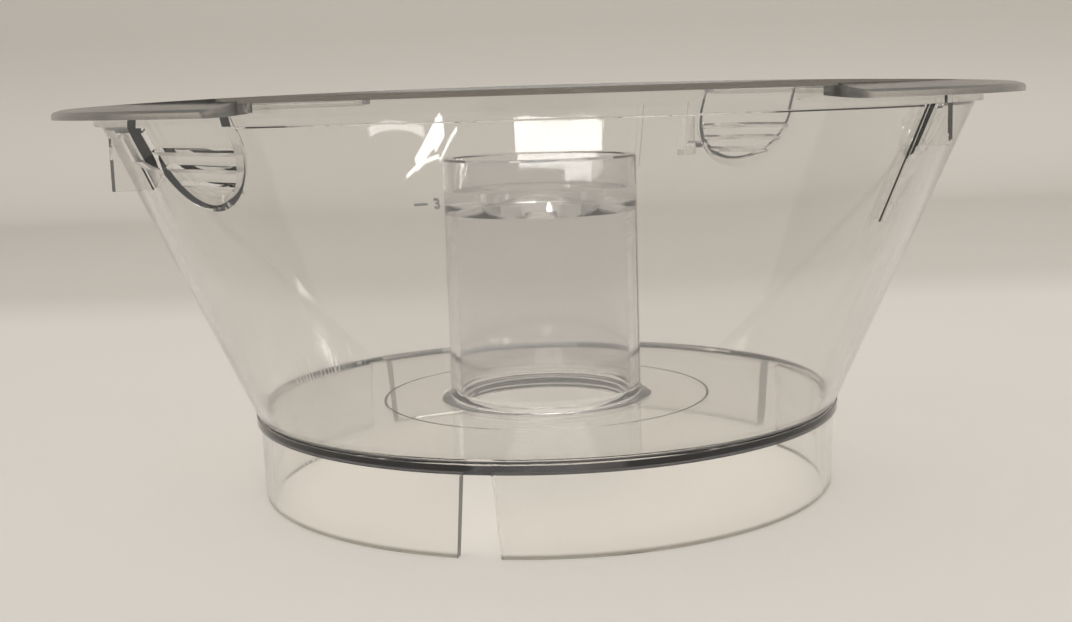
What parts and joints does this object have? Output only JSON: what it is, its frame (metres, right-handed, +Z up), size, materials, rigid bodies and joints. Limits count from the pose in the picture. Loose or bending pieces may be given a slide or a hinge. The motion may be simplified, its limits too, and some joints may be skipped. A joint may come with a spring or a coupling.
{
  "type": "food processor bowl",
  "caption": "Clear cone-shaped food processor bowl with a central shaft tube, flat rim with lifting ears, finger grips and a slotted skirt.",
  "frame": {"origin": "on the table under the bowl's axis, at the foot of the skirt", "axes": "+Z up along the shaft tube, +X through the right lifting ear, -Y to the front"},
  "size_m": [0.2224, 0.213, 0.0949],
  "materials": {
    "clear_plastic": "clear polished polycarbonate, slightly warm grey"
  },
  "bodies": {
    "root": {"bowl": "clear_plastic"}
  },
  "joints": []
}
